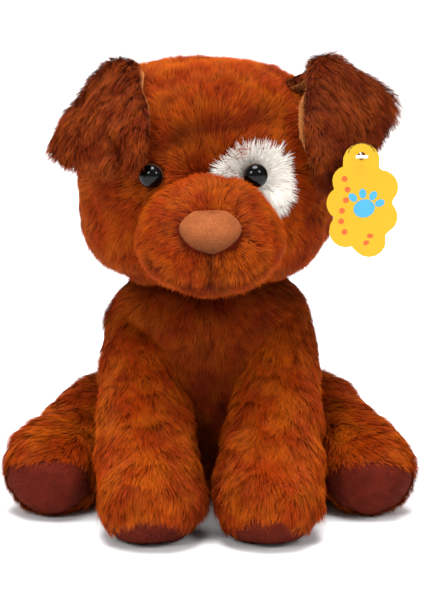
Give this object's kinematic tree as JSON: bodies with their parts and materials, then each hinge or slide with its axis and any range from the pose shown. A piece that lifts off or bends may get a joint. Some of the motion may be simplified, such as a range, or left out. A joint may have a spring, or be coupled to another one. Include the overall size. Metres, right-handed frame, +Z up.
{
  "type": "plush dog",
  "caption": "Sitting plush puppy with folded ears, a white eye patch, velour nose and soles, sprung soft joints and a card hang tag.",
  "frame": {"origin": "middle of the flat seat that the toy sits on", "axes": "+Z up, the toy looks along -Y, its left side is at +X"},
  "size_m": [0.2146, 0.2115, 0.2408],
  "materials": {
    "brown_plush": "long-pile orange-brown plush",
    "dark_plush": "shorter dark brown plush",
    "white_plush": "white plush",
    "ear_lining": "tan brushed cloth",
    "sole_velour": "dark brown velour",
    "nose_velour": "pinkish brown velour",
    "eye_plastic": "polished moulded dome",
    "nylon": "moulded natural nylon",
    "stuffing": "loose polyester fibre",
    "pellet_cloth": "plain woven bag",
    "satin_label": "blank satin ribbon",
    "tag_card": "gloss-laminated yellow card"
  },
  "bodies": {
    "torso": {"torso_skin": "brown_plush", "torso_stuffing": "stuffing", "pellet_bag": "pellet_cloth", "care_label": "satin_label"},
    "neck": {"neck_stuffing": "stuffing"},
    "head": {"head_skin": "brown_plush", "head_stuffing": "stuffing", "eye_patch": "white_plush", "muzzle_skin": "brown_plush", "muzzle_stuffing": "stuffing", "nose": "nose_velour", "eye_left": "eye_plastic", "eye_right": "eye_plastic", "eye_washer_left": "nylon", "eye_washer_right": "nylon"},
    "ear_left": {"ear_left": "dark_plush", "ear_lining_left": "ear_lining", "tag_fastener": "nylon"},
    "ear_right": {"ear_right": "dark_plush", "ear_lining_right": "ear_lining"},
    "tag": {"hang_tag": "tag_card"},
    "front_leg_left": {"front_leg_left_skin": "brown_plush", "front_leg_left_stuffing": "stuffing", "front_paw_pad_left": "sole_velour"},
    "front_leg_right": {"front_leg_right_skin": "brown_plush", "front_leg_right_stuffing": "stuffing", "front_paw_pad_right": "sole_velour"},
    "hind_leg_left": {"hind_leg_left_skin": "brown_plush", "hind_leg_left_stuffing": "stuffing", "hind_paw_pad_left": "sole_velour"},
    "hind_leg_right": {"hind_leg_right_skin": "brown_plush", "hind_leg_right_stuffing": "stuffing", "hind_paw_pad_right": "sole_velour"},
    "tail": {"tail_skin": "brown_plush", "tail_stuffing": "stuffing"}
  },
  "joints": [
    {"name": "neck_turn", "type": "hinge", "parent": "torso", "child": "neck", "pos_m": [0, -0.005, 0.138], "axis": [0, 0, 1], "range_deg": [-30, 30], "stiffness_Nm_per_rad": 0.8},
    {"name": "head_nod", "type": "hinge", "parent": "neck", "child": "head", "pos_m": [0, -0.005, 0.138], "axis": [1, 0, 0], "range_deg": [-8, 8], "stiffness_Nm_per_rad": 4},
    {"name": "ear_left_flap", "type": "hinge", "parent": "head", "child": "ear_left", "pos_m": [0.053, -0.02, 0.223], "axis": [-0.481, -0.6969, 0.5319], "range_deg": [0, 20], "stiffness_Nm_per_rad": 0.2},
    {"name": "ear_right_flap", "type": "hinge", "parent": "head", "child": "ear_right", "pos_m": [-0.056, -0.02, 0.223], "axis": [-0.481, 0.6969, -0.5319], "range_deg": [0, 20], "stiffness_Nm_per_rad": 0.2},
    {"name": "tag_swing", "type": "hinge", "parent": "ear_left", "child": "tag", "pos_m": [0.076, -0.078, 0.1976], "axis": [0, 1, 0], "range_deg": [-20, 10]},
    {"name": "front_leg_left_lift", "type": "hinge", "parent": "torso", "child": "front_leg_left", "pos_m": [0.038, -0.014, 0.097], "axis": [-1, 0, 0], "range_deg": [0, 20], "stiffness_Nm_per_rad": 2},
    {"name": "front_leg_right_lift", "type": "hinge", "parent": "torso", "child": "front_leg_right", "pos_m": [-0.038, -0.014, 0.097], "axis": [-1, 0, 0], "range_deg": [0, 20], "stiffness_Nm_per_rad": 2},
    {"name": "hind_leg_left_lift", "type": "hinge", "parent": "torso", "child": "hind_leg_left", "pos_m": [0.057, 0.012, 0.03], "axis": [-1, 0, 0], "range_deg": [0, 20], "stiffness_Nm_per_rad": 2},
    {"name": "hind_leg_right_lift", "type": "hinge", "parent": "torso", "child": "hind_leg_right", "pos_m": [-0.057, 0.012, 0.03], "axis": [-1, 0, 0], "range_deg": [0, 20], "stiffness_Nm_per_rad": 2},
    {"name": "tail_wag", "type": "hinge", "parent": "torso", "child": "tail", "pos_m": [0, 0.06, 0.026], "axis": [0, 0, 1], "range_deg": [-20, 20], "stiffness_Nm_per_rad": 0.1}
  ]
}
